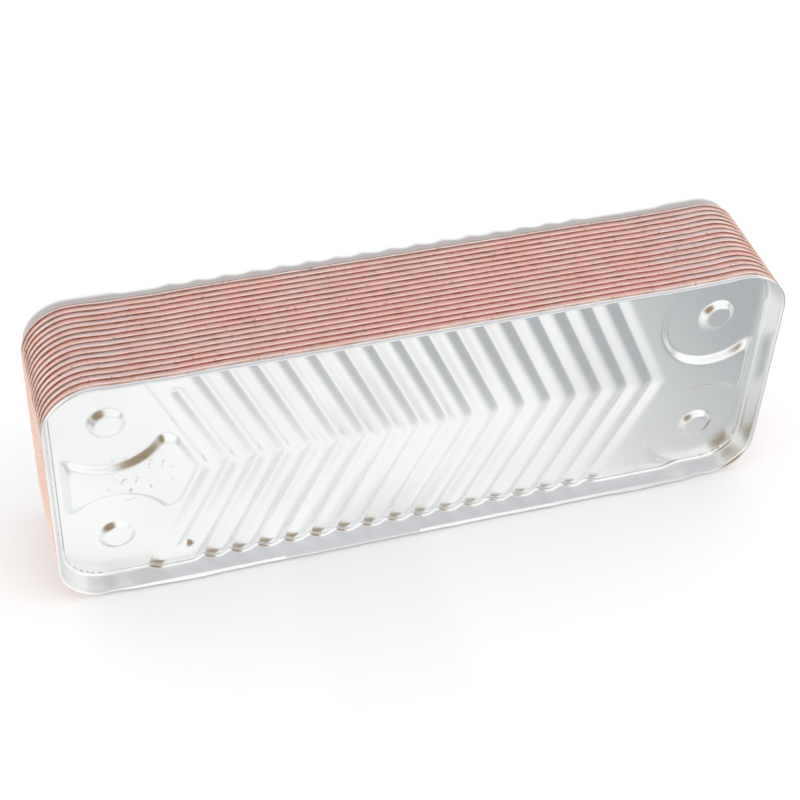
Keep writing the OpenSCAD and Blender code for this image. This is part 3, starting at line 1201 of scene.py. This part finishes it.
@dataclass(frozen=True)
class Card:
    """A card that only mirror rays see, level or turned to the object, in metres."""

    name: str
    at: tuple[float, float, float]
    size: float
    colour: tuple[float, float, float]
    level: bool = True
    core: float = 0.6

    def build(self) -> None:
        """Makes the card. Its colour fades to white from the core out."""
        material, n, shader = new_material(self.name)
        shader.inputs["Base Color"].default_value = (0.0, 0.0, 0.0, 1.0)
        shader.inputs["Roughness"].default_value = 1.0
        half = self.size / 2.0
        coordinates = n.add("ShaderNodeTexCoord")
        apart = n.add("ShaderNodeVectorMath", operation="LENGTH")
        n.join(coordinates.outputs["Object"], apart.inputs[0])
        outward = n.spread(apart.outputs["Value"], self.core * half, half, 0.0, 1.0)
        n.join(n.blend(outward, self.colour, (1.0, 1.0, 1.0)), shader.inputs["Emission Color"])
        shader.inputs["Emission Strength"].default_value = 1.0
        corners = np.array([[-half, -half, 0], [half, -half, 0], [half, half, 0], [-half, half, 0]], float)
        made = mesh_object(self.name, corners, np.array([[0, 1, 2], [0, 2, 3]]), material)
        made.location = self.at
        if not self.level:
            made.rotation_euler = Vector(self.at).to_track_quat("Z", "Y").to_euler()
        made.visible_camera = False
        made.visible_shadow = False
        made.visible_diffuse = False


CARDS = (
    Card("warm_card", (-0.85, -1.05, 0.6), 2.1, (0.30, 0.21, 0.11), level=False),
    Card("ceiling", (0.3, 0.6, 1.9), 6.0, (0.66, 0.65, 0.70)),
    Card("front_apron", (0.0, -0.68, 0.001), 1.0, (0.40, 0.41, 0.40)),
    Card("left_apron", (-0.42, -0.25, 0.001), 0.76, (0.36, 0.36, 0.35)),
    Card("right_apron", (0.37, -0.1, 0.001), 0.74, (0.42, 0.43, 0.45)),
)


@dataclass
class Studio:
    """Camera, floor, lamp and the cards that the steel mirrors."""

    camera_at: tuple[float, float, float] = (-0.12464, -0.35482, 0.38788)
    camera_turn: tuple[float, float, float] = (46.6225, -2.3078, -17.0402)
    lens: float = 81.7
    sensor: float = 36.0
    sky: float = 1.08

    def camera(self) -> None:
        """Puts the camera where it looks down on the open side from the left."""
        data = bpy.data.cameras.new("camera")
        data.lens = self.lens
        data.sensor_width = self.sensor
        data.clip_start = 0.01
        made = bpy.data.objects.new("camera", data)
        made.location = self.camera_at
        made.rotation_euler = [math.radians(a) for a in self.camera_turn]
        bpy.context.scene.collection.objects.link(made)
        bpy.context.scene.camera = made

    def world(self) -> None:
        """A plain white surround."""
        world = bpy.data.worlds.new("studio")
        world.use_nodes = True
        background = world.node_tree.nodes["Background"]
        background.inputs["Color"].default_value = (1.0, 1.0, 1.0, 1.0)
        background.inputs["Strength"].default_value = self.sky
        bpy.context.scene.world = world

    def floor(self) -> None:
        """A pale floor under the object."""
        size = 6.0
        corners = np.array([[-size, -size, 0], [size, -size, 0], [size, size, 0], [-size, size, 0]], float)
        material, _, shader = new_material("pale_floor")
        shader.inputs["Base Color"].default_value = (0.93, 0.93, 0.93, 1.0)
        shader.inputs["Roughness"].default_value = 0.8
        made = mesh_object("floor", corners, np.array([[0, 1, 2], [0, 2, 3]]), material)
        made.location.z = -0.0004

    def light(self, name: str, at: tuple[float, float, float], power: float, size: float) -> None:
        """A large soft lamp that points at the object."""
        data = bpy.data.lights.new(name, "AREA")
        data.energy = power
        data.size = size
        made = bpy.data.objects.new(name, data)
        made.location = at
        made.rotation_euler = Vector(at).to_track_quat("Z", "Y").to_euler()
        made.visible_glossy = False
        bpy.context.scene.collection.objects.link(made)

    def build(self) -> None:
        """Sets up the whole studio."""
        self.camera()
        self.world()
        self.floor()
        self.light("key", (0.5, -0.6, 1.2), 2.6, 0.9)
        for card in CARDS:
            card.build()
        bpy.context.scene.view_settings.view_transform = "Standard"


def main() -> None:
    """Builds every piece in order, then the studio."""
    stack = Stack.from_frame(Outline())
    log.info("stack: %d channel plates at %.3f mm", stack.channel_count, stack.pitch)
    finishes = Finishes.build()
    covers = Covers(stack)
    covers.back(finishes)
    covers.front(finishes)
    ChannelPlates(stack).build(finishes)
    BrazeSeams(stack).build(finishes)
    SealRings().build(finishes)
    Bosses().build(finishes)
    Studio().build()


if __name__ == "__main__":
    main()
